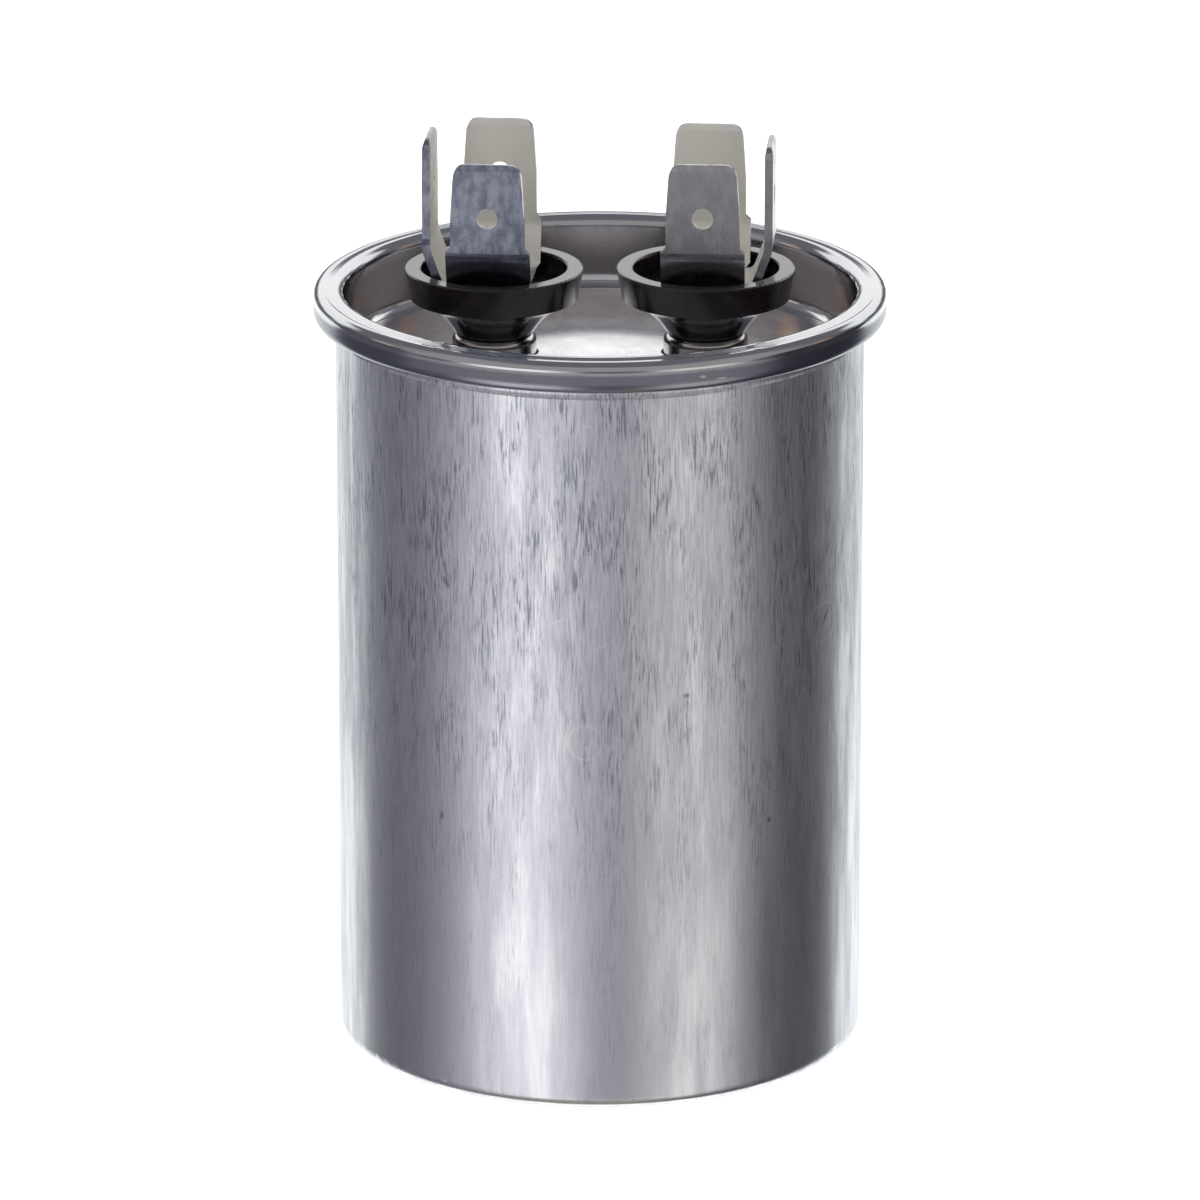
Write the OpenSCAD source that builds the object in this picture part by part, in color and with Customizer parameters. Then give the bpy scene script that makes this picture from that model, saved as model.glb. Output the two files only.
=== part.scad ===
// Motor run capacitor: a drawn aluminium can closed by a double-seamed lid, with two insulated
// push-on terminals on top and a wound film element, its leads and a pressure interrupter inside.
// Millimetres, +Z up, origin at the centre of the can's base.

/* [Can] */
// Outside radius of the can
can_r = 22.5; // [21.5:0.25:30]
// Wall of the can
can_wall = 0.4; // [0.3:0.05:0.5]
// Thickness of the can's base
can_floor = 0.6; // [0.4:0.1:1]
// Outside radius of the corner between base and wall
can_corner_r = 1.2; // [1.1:0.1:2]
// Height from the base to the top of the rolled rim
can_h = 66.5; // [50:0.5:120]

/* [Rolled seam] */
// Height of the rolled seam
seam_h = 2.8; // [2.6:0.1:3.6]
// Sealing compound between one folded layer and the next
seam_gap = 0.2; // [0.12:0.02:0.24]
// Inside radius of the bend over the crown
crown_r = 0.45; // [0.4:0.05:0.6]
// Fall of the crown towards the outside, in degrees
crown_fall = 10; // [4:1:14]
// Turn of the shallow crease next to the shoulder, in degrees
crease_turn = 25; // [16:1:30]
// Inside radius of the crease
crease_r = 0.3; // [0.2:0.05:0.4]
// Inside radius of the outer shoulder
shoulder_r = 0.3; // [0.2:0.05:0.35]
// Compound above the can's hook
hook_room = 0.15; // [0.12:0.01:0.18]
// Overlap of the can's hook and the lid's hook
hook_overlap = 0.55; // [0.3:0.05:0.7]
// Depth of the shallow groove that the seaming roll leaves in the can below the seam
groove_depth = 0.12; // [0.06:0.01:0.18]
// Radius of the groove's hollow
groove_r = 1; // [0.8:0.1:1.4]

/* [Lid] */
// Sheet thickness of the lid
lid_t = 0.45; // [0.35:0.05:0.5]
// Depth of the flat panel below the top of the rim
panel_depth = 6.1; // [5:0.1:7]
// Inside radius between the panel and its wall
panel_fillet_r = 1; // [0.6:0.1:1.6]
// Outside radius of the raised boss under each insulator
boss_r = 3.6; // [3.4:0.1:4.2]
// Height of a boss above the panel
boss_h = 1.9; // [1.5:0.1:2.6]
// Inside radius of the bends at a boss's edge and foot
boss_bend_r = 0.25; // [0.15:0.05:0.4]

/* [Insulators] */
// Distance between the two terminals
pitch = 18; // [16:0.25:20]
// Wall of the collar round its cup
collar_wall = 1.5; // [1:0.05:1.7]
// How much narrower the collar is at its foot than at its top
collar_draft = 0.5; // [0:0.05:0.8]
// Height of the collar
collar_h = 2.6; // [2.2:0.1:3.4]
// Rounding of the collar's upper edges
collar_edge_r = 0.2; // [0.1:0.05:0.3]
// Clearance of the terminal's corners in the cup
cup_fit = 0.05; // [0.02:0.01:0.3]
// Depth of the cup
cup_depth = 1.65; // [1.2:0.05:2]
// Height of the insulator above its boss
stem_h = 5.7; // [5:0.1:7]
// How far the insulator's foot stands back from the boss's side
stem_inset = 0.05; // [0:0.05:0.3]
// Height of the straight band at the insulator's foot
stem_band_h = 0.4; // [0.2:0.05:0.8]
// Hollow of the flare below the collar
flare_sag = 0.4; // [0.1:0.05:0.7]
// Radius of the spigot that lines the hole in the boss
spigot_r = 2.15; // [1.9:0.05:2.4]

/* [Terminals] */
// Sheet thickness of a terminal
tab_t = 0.7; // [0.5:0.05:0.8]
// Width of a push-on tab
tab_w = 6.25; // [6:0.05:6.4]
// Width of a tab where its tip corners begin
tip_w = 5.8; // [5.4:0.05:6]
// Width of the wider stretch below a tab
shoulder_w = 7.1; // [6.8:0.05:7.2]
// Relief between the roots of neighbouring tabs
root_relief = 0.2; // [0.1:0.05:0.5]
// Distance from the terminal's axis to the middle of each tab
tab_offset = 5.45; // [5.2:0.05:5.6]
// Slant of a tab below its knee, measured from upright, in degrees
tab_slant = 20; // [14:1:24]
// Height of the knee above the floor of the cup
knee_h = 4.35; // [3.8:0.05:5]
// Inside radius of the bend at the base plate
root_bend_r = 0.6; // [0.4:0.05:0.8]
// Inside radius of the bend at the knee
knee_bend_r = 1.5; // [0.8:0.1:2]
// Width of the rounding of each tip corner
tip_round_w = 0.95; // [0.3:0.05:1.2]
// Height of the rounding of each tip corner
tip_round_h = 1.25; // [0.4:0.05:1.6]
// Bevel on both faces of the tip
tip_bevel = 0.18; // [0.05:0.01:0.22]
// Diameter of the detent hole
detent_d = 1.8; // [1.4:0.1:2.2]
// Distance from a tab's tip to the centre of its detent hole
detent_drop = 4.65; // [4:0.05:5]
// Height of the front tabs above the collar
front_tab_h = 10.4; // [9:0.1:13]
// Height of the left terminal's outer and back tabs above the collar
left_tab_h = 11.6; // [9:0.1:13]
// Height of the right terminal's outer and back tabs above the collar
right_tab_h = 11.1; // [9:0.1:13]
// Turn of the left terminal about its rivet, in degrees
left_turn = -5.3; // [-8:0.1:8]
// Turn of the right terminal about its rivet, in degrees
right_turn = -3.7; // [-8:0.1:8]

/* [Rivets] */
// Radius of the rivet's shank
rivet_r = 1.25; // [1:0.05:1.5]
// Radius of the rivet's head
head_r = 2.4; // [2:0.1:2.8]
// Height of the rivet's head
head_h = 0.8; // [0.5:0.1:1.2]
// Radius of the clinched end
clinch_r = 2; // [1.7:0.1:2.6]
// Height of the clinched end
clinch_h = 0.6; // [0.4:0.1:1]
// Radial clearance of the shank in its holes
rivet_fit = 0.05; // [0.02:0.01:0.1]

/* [Under the lid] */
// Thickness of the rubber gasket in each boss
gasket_t = 1.2; // [0.8:0.1:1.4]
// Radial clearance of what fits inside a boss
boss_fit = 0.05; // [0.02:0.01:0.1]
// Lap of the inner insulating washer past the boss
washer_lap = 1.15; // [0.5:0.05:1.8]
// Thickness of the inner washer's flange
washer_t = 1; // [0.6:0.1:1.5]
// Thickness of the contact tags
tag_t = 0.3; // [0.2:0.05:0.4]
// Width of the contact tags
tag_w = 3.2; // [2.6:0.1:4]
// Inside radius of the bend in a tag
tag_bend_r = 0.2; // [0.1:0.05:0.3]
// Length of the tail below the interrupter disc
tag_tail = 2.2; // [1.5:0.1:3]

/* [Pressure interrupter] */
// Thickness of the interrupter disc
disc_t = 1.5; // [1:0.1:2]
// Radial clearance of the disc in the can
disc_fit = 0.2; // [0.1:0.05:0.4]
// Width of the disc's raised rim
disc_rim_w = 1.2; // [0.8:0.1:2]
// Clearance of the slot for each tag's tail
slot_fit = 0.1; // [0.05:0.05:0.3]

/* [Wound element] */
// Room between the top of the element and the interrupter disc
lead_room = 6; // [4:0.5:12]
// Thickness of the sprayed metal on each end
spray_t = 0.5; // [0.3:0.1:0.8]
// Outside radius of the winding core
core_r = 4; // [3.6:0.1:6]
// Wall of the winding core
core_wall = 1; // [0.8:0.1:1.1]
// Thickness of the insulating sleeve round the element
sleeve_t = 0.5; // [0.3:0.1:0.8]
// Radial slack between the sleeve and the can
sleeve_slack = 1; // [0.8:0.1:1.4]
// Thickness of the bottom cup
cup_t = 0.5; // [0.4:0.1:0.7]
// Height of the bottom cup's wall
bottom_cup_h = 9; // [6:0.5:20]
// Height of the ribs that carry the element
rib_h = 2.6; // [2.4:0.1:4]
// Width of the ribs
rib_w = 1.6; // [1.2:0.1:3]

/* [Leads] */
// Distance of the long lead from the can's axis
long_lead_x = 1.4; // [1:0.1:1.8]
// Radius of the lead wire
wire_r = 0.5; // [0.4:0.05:0.6]
// Wall of the insulating tube on each lead
tube_wall = 0.35; // [0.2:0.05:0.4]
// Inside radius of the bend at the foot of the long lead
wire_bend_r = 0.6; // [0.5:0.05:0.8]
// Distance from the can's axis to the solder joint below the element
foot_reach = 8.5; // [7.5:0.1:12]
// Radius of a solder joint
solder_r = 1.6; // [1.4:0.1:2.4]
// Height of a solder joint
solder_h = 1.1; // [1:0.1:1.4]

/* [Hidden] */
$fn = 96;
// overshoot of a cutting tool past the face that it cuts
cut = 1;
// largest step along a bend in sheet, in degrees
bend_step = 9;

// radii of the rolled seam, from the can's bore outwards
bore_r = can_r - can_wall;
lid_hook_r = can_r + seam_gap + lid_t;
can_hook_r = lid_hook_r + seam_gap;
panel_in_r = can_hook_r + can_wall + seam_gap;
can_hook_turn_r = (can_hook_r - can_r) / 2;
lid_hook_turn_r = (panel_in_r - lid_hook_r) / 2;

// levels of the rolled seam
crown_z = can_h - lid_t - crown_r;
lid_hook_z = can_h - seam_h + lid_t + lid_hook_turn_r;
can_hook_z = can_h - lid_t - hook_room - can_wall - can_hook_turn_r;
hooks_mid_z = (lid_hook_z + can_hook_z) / 2;
groove_z = can_h - seam_h - sqrt(groove_depth * (2 * groove_r - groove_depth));

// the crown falls outwards, turns up in a shallow crease and rolls over the shoulder
crease_rise = crease_turn - crown_fall;
crease_path_r = crease_r + lid_t;
crown_run = (panel_in_r - bore_r - crown_r * (1 + sin(crown_fall))
    - crease_path_r * (sin(crown_fall) + sin(crease_rise))
    - shoulder_r * (1 + sin(crease_rise))) / cos(crown_fall);
shoulder_z = crown_z + crown_r * cos(crown_fall) - crown_run * sin(crown_fall)
    + crease_path_r * (cos(crown_fall) - cos(crease_rise)) - shoulder_r * cos(crease_rise);

// levels above the lid
panel_z = can_h - panel_depth;
boss_z = panel_z + boss_h;
collar_z = boss_z + stem_h;
collar_foot_z = collar_z - collar_h;
cup_floor_z = collar_z - cup_depth;
plate_z = cup_floor_z + tab_t;

// levels below the lid
panel_under_z = panel_z - lid_t;
gasket_foot_z = boss_z - lid_t - gasket_t;
washer_foot_z = panel_under_z - washer_t;
clinch_foot_z = washer_foot_z - clinch_h;
disc_z = clinch_foot_z - tag_t;
disc_foot_z = disc_z - disc_t;
tail_foot_z = disc_foot_z - tag_tail;

// a terminal, along its sheet: base plate, root bend, slanted stretch, knee and upright tab
tab_outer = tab_offset + tab_t / 2;
rise = 90 - tab_slant;
root_turn_r = root_bend_r + tab_t;
knee_turn_r = knee_bend_r + tab_t;
slant_top_h = knee_h - knee_turn_r * cos(rise);
slant_run = (slant_top_h - root_turn_r * (1 - cos(rise))) / sin(rise);
slant_top_reach = tab_outer - knee_turn_r * (1 - sin(rise));
plate_reach = slant_top_reach - slant_run * cos(rise) - root_turn_r * sin(rise);
root_w = 2 * (plate_reach - root_relief);
root_top_h = root_turn_r * 0.5;

// the cup clears the terminal's corners where they leave it
mouth_reach = slant_top_reach - (slant_top_h - cup_depth) * tan(tab_slant);
cup_r = norm([mouth_reach, shoulder_w / 2]) + cup_fit;
collar_r = cup_r + collar_wall;
collar_foot_r = collar_r - collar_draft;
stem_foot_r = boss_r - stem_inset;

// radii of what passes through a boss
boss_in_r = boss_r - lid_t;
boss_foot_r = boss_r + boss_bend_r;
lid_hole_r = spigot_r + boss_fit;
shank_hole_r = rivet_r + rivet_fit;
washer_r = boss_foot_r + washer_lap;

// the wound element stands on the ribs of the bottom cup
cup_floor_top_z = can_floor + cup_t;
element_foot_z = cup_floor_top_z + rib_h;
element_top_z = disc_foot_z - lead_room;
film_foot_z = element_foot_z + spray_t;
film_top_z = element_top_z - spray_t;
sleeve_r = bore_r - sleeve_slack;
element_r = sleeve_r - sleeve_t;

// each lead runs down beside the tail of its tag
tag_reach = pitch / 2 - long_lead_x - wire_r - tag_t;
short_lead_x = -pitch / 2 - tag_reach - tag_t - wire_r;
lead_top_z = tail_foot_z + tag_tail * 0.6;
foot_wire_z = element_foot_z - wire_r;
wire_turn_r = wire_bend_r + wire_r;

// ---- shared shapes ---------------------------------------------------------------------------

// The left-hand side of a path that heads h degrees from +X
function left_of(h) = [-sin(h), cos(h)];

// One face of a folded sheet's section, from its start to its end. The path runs along the sheet's
// right-hand face from the origin, first along +X. Each move is [straight run, turn in degrees,
// inside radius of the turn], and a left turn is positive. The face lies `off` left of the path.
function fold_face(moves, t, off, at = [0, 0], h = 0, i = 0) =
    i == len(moves) ? [] :
    let (
        turn = moves[i][1],
        to_centre = turn > 0 ? moves[i][2] + t : -moves[i][2],
        bend_at = at + moves[i][0] * [cos(h), sin(h)],
        centre = bend_at + to_centre * left_of(h),
        steps = ceil(abs(turn) / bend_step)
    )
    concat(
        i == 0 ? [at + off * left_of(h)] : [],
        moves[i][0] > 0 ? [bend_at + off * left_of(h)] : [],
        [for (s = [1:1:steps]) centre - (to_centre - off) * left_of(h + turn * s / steps)],
        fold_face(moves, t, off, centre - to_centre * left_of(h + turn), h + turn, i + 1)
    );

function reversed(points) = [for (i = [len(points) - 1:-1:0]) points[i]];

// The section of a sheet of thickness t, folded along the moves
module folded(moves, t)
    polygon(concat(fold_face(moves, t, 0), reversed(fold_face(moves, t, t))));

// The section of a vessel's outside: a straight wall over a rounded foot
module footed(r, corner_r, h) {
    square([r - corner_r, h]);
    translate([0, corner_r]) square([r, h - corner_r]);
    translate([r - corner_r, corner_r]) circle(corner_r);
}

// What rounds off an outer corner that stands at the origin
module corner_waste(r)
    translate([-r, -r]) difference() {
        square(r + cut);
        circle(r);
    }

module ring(r_in, r_out, z_low, z_high)
    translate([0, 0, z_low]) difference() {
        cylinder(r = r_out, h = z_high - z_low);
        translate([0, 0, -cut]) cylinder(r = r_in, h = z_high - z_low + 2 * cut);
    }

// Side -1 is the left terminal and side 1 is the right one
module at_terminal(side) translate([side * pitch / 2, 0, 0]) children();

// ---- can and lid -----------------------------------------------------------------------------

// Drawn cup whose top edge is folded over as the can's hook of the seam
module can()
    color("#a9abb5") rotate_extrude() {
        difference() {
            footed(can_r, can_corner_r, can_hook_z);
            translate([0, can_floor]) footed(bore_r, can_corner_r - can_wall, can_h);
            translate([can_r + groove_r - groove_depth, groove_z]) circle(groove_r);
        }
        translate([can_r, can_hook_z]) rotate(90)
            folded([
                [0, -180, can_hook_turn_r],
                [can_hook_z - hooks_mid_z + hook_overlap / 2, 0, 0]
            ], can_wall);
    }

// Flat panel, wall, crown and hook, all rolled from one sheet
module lid_section()
    translate([0, panel_under_z]) folded([
        [bore_r - lid_t - panel_fillet_r, 90, panel_fillet_r],
        [crown_z - panel_z - panel_fillet_r, -90 - crown_fall, crown_r],
        [crown_run, crease_turn, crease_r],
        [0, -90 - crease_rise, shoulder_r],
        [shoulder_z - lid_hook_z, -180, lid_hook_turn_r],
        [hooks_mid_z + hook_overlap / 2 - lid_hook_z, 0, 0]
    ], lid_t);

// The raised boss that carries an insulator, from the edge of its hole out into the panel
module boss()
    rotate_extrude() translate([lid_hole_r, boss_z - lid_t]) folded([
        [boss_in_r - boss_bend_r - lid_hole_r, -90, boss_bend_r],
        [boss_h - lid_t - 2 * boss_bend_r, 90, boss_bend_r],
        [lid_t, 0, 0]
    ], lid_t);

module lid()
    color("#9d9da0") {
        difference() {
            rotate_extrude() lid_section();
            for (side = [-1, 1]) at_terminal(side)
                translate([0, 0, panel_under_z - cut]) cylinder(r = boss_foot_r, h = lid_t + 2 * cut);
        }
        for (side = [-1, 1]) at_terminal(side) boss();
    }

// Rubber compound squeezed between the can's hook and the lid's crown
module seam_compound()
    color("#5d6a4a") rotate_extrude() difference() {
        translate([bore_r, can_hook_z]) rotate(90)
            folded([[0, -180, can_hook_turn_r + can_wall]], 2 * hook_room);
        lid_section();
    }

// ---- terminals -------------------------------------------------------------------------------

// Centre of the arc that hollows the flare between the stem's foot and the collar
function flare_start() = [stem_foot_r, boss_z + stem_band_h];
function flare_chord() = [collar_foot_r, collar_foot_z] - flare_start();
function flare_arc_r() = pow(norm(flare_chord()), 2) / (8 * flare_sag) + flare_sag / 2;
function flare_side() = [flare_chord().y, -flare_chord().x] / norm(flare_chord());
function flare_centre() = flare_start() + flare_chord() / 2 + flare_side() * (flare_arc_r() - flare_sag);

// Moulded in one piece: cupped collar, flared stem and the spigot that lines the boss's hole
module insulator()
    color("#1c1b1d") rotate_extrude() difference() {
        union() {
            difference() {
                polygon([
                    [0, collar_foot_z], [collar_foot_r, collar_foot_z], [collar_r, collar_z], [0, collar_z]
                ]);
                translate([collar_r, collar_z]) corner_waste(collar_edge_r);
            }
            difference() {
                polygon([
                    [0, boss_z], [stem_foot_r, boss_z], flare_start(),
                    [collar_foot_r, collar_foot_z], [0, collar_foot_z]
                ]);
                translate(flare_centre()) circle(flare_arc_r());
            }
            translate([0, gasket_foot_z + boss_fit])
                square([spigot_r, boss_z - gasket_foot_z - boss_fit]);
        }
        translate([0, cup_floor_z]) square([cup_r, cup_depth + cut]);
        translate([cup_r, collar_z]) mirror([1, 0]) corner_waste(collar_edge_r);
        translate([0, gasket_foot_z]) square([shank_hole_r, collar_z - gasket_foot_z]);
    }

// The sheet of one tab from the terminal's axis out to its tip, seen from the side
module tab_side(tip_z)
    difference() {
        translate([0, cup_floor_z]) folded([
            [plate_reach, rise, root_bend_r],
            [slant_run, tab_slant, knee_bend_r],
            [tip_z - cup_floor_z - knee_h, 0, 0]
        ], tab_t);
        translate([tab_offset, tip_z]) for (face = [0, 1])
            mirror([face, 0]) polygon([
                [tab_t / 2 - tip_bevel, 0], [tab_t / 2, -3 * tip_bevel], [cut, -3 * tip_bevel], [cut, cut],
                [tab_t / 2 - tip_bevel, cut]
            ]);
    }

// The right half of a tab's outline, seen from outside
function half_outline(tip_z) = [
    [root_w / 2, cup_floor_z - cut],
    [root_w / 2, cup_floor_z + root_top_h],
    [shoulder_w / 2, cup_floor_z + root_top_h + (shoulder_w - root_w) / 2],
    [shoulder_w / 2, cup_floor_z + knee_h],
    [tab_w / 2, cup_floor_z + knee_h + (shoulder_w - tab_w) / 2],
    [tab_w / 2, tip_z - detent_drop],
    for (a = [0:15:90])
        [tip_w / 2 - tip_round_w * (1 - cos(a)), tip_z - tip_round_h * (1 - sin(a))],
    [tip_w / 2 - tip_round_w, tip_z + cut]
];

module tab(tip_z) {
    outline = half_outline(tip_z);
    across = [for (point = reversed(outline)) [-point.x, point.y]];
    difference() {
        intersection() {
            translate([0, shoulder_w / 2, 0]) rotate([90, 0, 0])
                linear_extrude(shoulder_w) tab_side(tip_z);
            rotate([90, 0, 90]) linear_extrude(tab_outer + cut) polygon(concat(outline, across));
        }
        translate([0, 0, tip_z - detent_drop]) rotate([0, 90, 0])
            cylinder(d = detent_d, h = tab_outer + cut);
    }
}

// Three tabs folded up from one base plate; the side towards the other terminal has none
module terminal(side, turn, tab_h)
    color("#b4b3b0") at_terminal(side) rotate(turn) difference() {
        union() {
            rotate(-90) tab(collar_z + front_tab_h);
            rotate(90) tab(collar_z + tab_h);
            rotate(90 - side * 90) tab(collar_z + tab_h);
        }
        translate([0, 0, cup_floor_z - cut]) cylinder(r = shank_hole_r, h = tab_t + 2 * cut);
    }

// Tubular rivet: rounded head on the terminal's plate and a rolled end under the inner washer
module rivet()
    color("#b9b7b2") rotate_extrude() difference() {
        union() {
            translate([0, plate_z]) square([head_r, head_h]);
            translate([0, clinch_foot_z]) square([rivet_r, plate_z - clinch_foot_z]);
            translate([0, clinch_foot_z]) square([clinch_r, clinch_h]);
        }
        translate([head_r, plate_z + head_h]) corner_waste(head_h / 2);
        translate([clinch_r, clinch_foot_z]) mirror([0, 1]) corner_waste(clinch_h / 2);
        translate([0, clinch_foot_z - cut]) square([rivet_r / 2, cut + washer_t + clinch_h]);
    }

// ---- under the lid ---------------------------------------------------------------------------

// Rubber ring squeezed up into the hollow of the boss
module gasket()
    color("#2f2a28") ring(spigot_r, boss_in_r - boss_bend_r, gasket_foot_z, boss_z - lid_t);

// Flanged washer that keeps the rivet's end off the lid
module inner_washer()
    color("#d8d2c0") difference() {
        union() {
            translate([0, 0, washer_foot_z]) cylinder(r = washer_r, h = washer_t);
            translate([0, 0, washer_foot_z])
                cylinder(r = boss_in_r - boss_fit, h = gasket_foot_z - washer_foot_z);
        }
        translate([0, 0, washer_foot_z - cut])
            cylinder(r = shank_hole_r, h = gasket_foot_z - washer_foot_z + 2 * cut);
    }

// Strip that bridges the rivet's end to its lead and tears off when the lid bulges
module contact_tag(side)
    color("#c9b27c") at_terminal(side) rotate(180)
        translate([-clinch_r, tag_w / 2, disc_z]) rotate([90, 0, 0]) linear_extrude(tag_w)
            folded([
                [clinch_r + tag_reach - tag_bend_r, -90, tag_bend_r],
                [disc_t + tag_tail - tag_bend_r, 0, 0]
            ], tag_t);

// Moulded disc held between the lid's panel and the sleeve, slotted for the tails of the tags
module interrupter_disc() {
    rim_r = bore_r - lid_t - panel_fillet_r;
    slot_l = tag_bend_r + tag_t + slot_fit;
    slot_w = tag_w + 2 * slot_fit;
    color("#e4dfd2") {
        difference() {
            translate([0, 0, disc_foot_z]) cylinder(r = bore_r - disc_fit, h = disc_t);
            for (side = [-1, 1])
                translate([side * pitch / 2 - tag_reach - tag_t - slot_fit, -slot_w / 2, disc_foot_z - cut])
                    cube([slot_l, slot_w, disc_t + 2 * cut]);
        }
        ring(rim_r - disc_rim_w, rim_r, disc_z, panel_under_z);
    }
}

// ---- leads -----------------------------------------------------------------------------------

// Short lead, straight down to the top of the element
module lead_left()
    color("#c7c4bd") translate([short_lead_x, 0, element_top_z])
        cylinder(r = wire_r, h = lead_top_z - element_top_z);

// Long lead, down through the winding core and out below the element
module lead_right()
    color("#c7c4bd") translate([long_lead_x, 0, foot_wire_z]) {
        translate([0, 0, wire_turn_r]) cylinder(r = wire_r, h = lead_top_z - foot_wire_z - wire_turn_r);
        translate([wire_turn_r, 0, wire_turn_r]) rotate([-90, 0, 0]) intersection() {
            rotate_extrude() translate([wire_turn_r, 0]) circle(wire_r);
            translate([-wire_turn_r - cut, 0, -cut]) cube([wire_turn_r + cut, wire_turn_r + cut, 2 * cut]);
        }
        translate([wire_turn_r, 0, 0]) rotate([0, 90, 0])
            cylinder(r = wire_r, h = foot_reach - long_lead_x - wire_turn_r + solder_r / 2);
    }

module lead_tube_left()
    color("#e9e6dc") translate([short_lead_x, 0, 0])
        ring(wire_r, wire_r + tube_wall, element_top_z + solder_h, tail_foot_z - tag_bend_r);

module lead_tube_right()
    color("#e9e6dc") translate([long_lead_x, 0, 0])
        ring(wire_r, wire_r + tube_wall, film_foot_z + wire_turn_r, tail_foot_z - tag_bend_r);

// A low dome of solder on a flat face at the origin
module solder_dome() {
    ball_r = (pow(solder_r, 2) + pow(solder_h, 2)) / (2 * solder_h);
    intersection() {
        translate([0, 0, solder_h - ball_r]) sphere(ball_r);
        cylinder(r = solder_r + cut, h = solder_h + cut);
    }
}

module solder_top()
    color("#b8b8bb") difference() {
        translate([short_lead_x, 0, element_top_z]) solder_dome();
        lead_left();
    }

module solder_bottom()
    color("#b8b8bb") difference() {
        translate([foot_reach, 0, element_foot_z]) mirror([0, 0, 1]) solder_dome();
        lead_right();
    }

// ---- wound element ---------------------------------------------------------------------------

// Metallised film, all its turns as one roll
module film_winding() color("#c9ced6") ring(core_r, element_r, film_foot_z, film_top_z);

module winding_core() color("#efe9da") ring(core_r - core_wall, core_r, film_foot_z, film_top_z);

// Sprayed metal that joins the film's edges at each end
module end_spray_bottom() color("#8e9093") ring(core_r, element_r, element_foot_z, film_foot_z);

module end_spray_top() color("#8e9093") ring(core_r, element_r, film_top_z, element_top_z);

// Stiff tube round the element; it carries the interrupter disc
module element_sleeve() color("#d9c7a0") ring(element_r, sleeve_r, cup_floor_top_z, disc_foot_z);

// Moulded cup with radial ribs, which keeps the element off the can's base
module bottom_cup() {
    cup_in_r = sleeve_r + cup_fit;
    color("#e6e6e2") {
        translate([0, 0, can_floor]) rotate_extrude() difference() {
            footed(cup_in_r + cup_t, can_corner_r - can_wall, bottom_cup_h);
            translate([0, cup_t]) square([cup_in_r, bottom_cup_h]);
        }
        for (angle = [45:90:315]) rotate(angle)
            translate([core_r, -rib_w / 2, can_floor + cup_t / 2])
                cube([element_r - core_r - rib_w, rib_w, cup_t / 2 + rib_h]);
    }
}

can();
lid();
seam_compound();
at_terminal(-1) insulator();  // insulator_left
at_terminal(1) insulator();  // insulator_right
terminal(-1, left_turn, left_tab_h);  // terminal_left
terminal(1, right_turn, right_tab_h);  // terminal_right
at_terminal(-1) rivet();  // rivet_left
at_terminal(1) rivet();  // rivet_right
at_terminal(-1) gasket();  // gasket_left
at_terminal(1) gasket();  // gasket_right
at_terminal(-1) inner_washer();  // inner_washer_left
at_terminal(1) inner_washer();  // inner_washer_right
contact_tag(-1);  // contact_tag_left
contact_tag(1);  // contact_tag_right
interrupter_disc();
lead_left();
lead_right();
lead_tube_left();
lead_tube_right();
solder_top();
solder_bottom();
end_spray_top();
end_spray_bottom();
film_winding();
winding_core();
element_sleeve();
bottom_cup();
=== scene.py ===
"""Finishes, studio and camera for a motor run capacitor with a seamed can and push-on terminals."""

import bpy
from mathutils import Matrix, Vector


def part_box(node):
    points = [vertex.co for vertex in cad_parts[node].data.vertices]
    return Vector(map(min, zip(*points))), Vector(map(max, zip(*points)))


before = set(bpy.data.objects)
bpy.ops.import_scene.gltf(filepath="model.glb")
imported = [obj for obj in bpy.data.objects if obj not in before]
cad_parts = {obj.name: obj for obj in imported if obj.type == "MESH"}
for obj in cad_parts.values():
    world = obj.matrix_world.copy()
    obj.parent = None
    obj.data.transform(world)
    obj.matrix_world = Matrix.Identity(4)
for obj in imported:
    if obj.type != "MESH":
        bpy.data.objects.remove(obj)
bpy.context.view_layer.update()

import logging
import math
from dataclasses import dataclass, field
from enum import StrEnum
from typing import Any

import bpy
from mathutils import Vector

LOG = logging.getLogger("capacitor")
MM = 0.001
WHITE = "#ffffff"
SMOOTH = {"interpolation_type": "SMOOTHSTEP"}

Colour = tuple[float, float, float, float]
Size = tuple[float, float, float]
# A pattern's value where a thing starts to show and where it is full, then how much shows there.
Span = tuple[float, float, float, float]


class Side(StrEnum):
    """Which of the two terminals a stack carries, seen from the front."""

    LEFT = "left"
    RIGHT = "right"


def linear(hex_code: str, strength: float = 1.0) -> Colour:
    """Turn an sRGB hex colour into a linear one.

    Args:
        hex_code: Six hex digits after a hash sign.
        strength: How many times as bright the colour gets.

    Returns:
        Red, green, blue and an alpha of 1, all linear.
    """
    parts = [int(hex_code[i : i + 2], 16) / 255 for i in (1, 3, 5)]
    red, green, blue = [
        strength * (v / 12.92 if v <= 0.04045 else ((v + 0.055) / 1.055) ** 2.4) for v in parts
    ]
    return red, green, blue, 1.0


@dataclass(frozen=True)
class Grain:
    """A noise of one real size.

    `cell` is the size of one cell along X, Y and Z in millimetres, `detail` says how many finer
    layers lie in it, and `roughness` how strong these are.
    """

    cell: Size
    detail: float = 3.0
    roughness: float = 0.6

    def scale(self) -> tuple[float, ...]:
        """Give the number of cells in a metre along X, Y and Z."""
        return tuple(1 / (size * MM) for size in self.cell)


@dataclass(frozen=True)
class Mark:
    """One small mark on the can or the lid: marks of handling, painted shade of dented spots and
    painted glints.

    `turn` is in degrees from the front towards +X and `height` in millimetres. `width` is half the
    mark's size round the axis in degrees, and `length` half its size upwards in millimetres. `lean`
    tilts it by so many degrees, and a hollow mark is only a thin ring.
    """

    turn: float
    height: float
    width: float
    length: float
    lean: float = 0.0
    hollow: bool = False


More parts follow.
